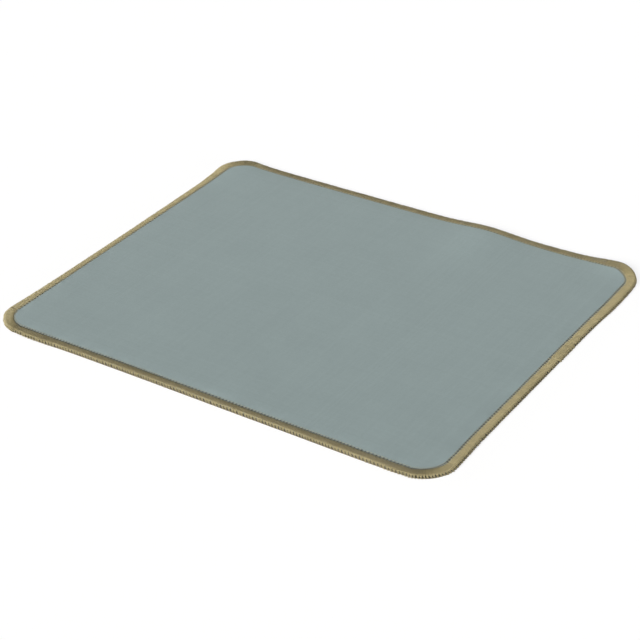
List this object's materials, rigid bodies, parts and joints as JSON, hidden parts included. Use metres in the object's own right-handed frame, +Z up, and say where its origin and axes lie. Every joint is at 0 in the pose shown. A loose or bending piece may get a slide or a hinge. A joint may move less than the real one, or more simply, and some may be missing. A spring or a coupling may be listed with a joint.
{
  "type": "mouse pad",
  "caption": "Flat rectangular cloth mouse pad with rounded corners: a woven face bonded to a thin foamed rubber base, bound all round by an overlocked thread edge.",
  "frame": {"origin": "middle of the underside, on the desk", "axes": "+X along the long side to the user's right, +Y away from the user, +Z up out of the working surface"},
  "size_m": [0.25, 0.2, 0.0021],
  "materials": {
    "foam_rubber": "matt foamed rubber with a fine moulded grip",
    "hot_melt_film": "thin clear hot-melt film",
    "woven_cloth": "fine matt polyester weave, grey with a touch of blue-green",
    "edge_thread": "tan textured polyester thread with a soft sheen"
  },
  "bodies": {
    "root": {"foam_base": "foam_rubber", "bonding_film": "hot_melt_film", "face_cloth": "woven_cloth", "needle_thread": "edge_thread", "upper_looper_thread": "edge_thread", "lower_looper_thread": "edge_thread"}
  },
  "joints": []
}
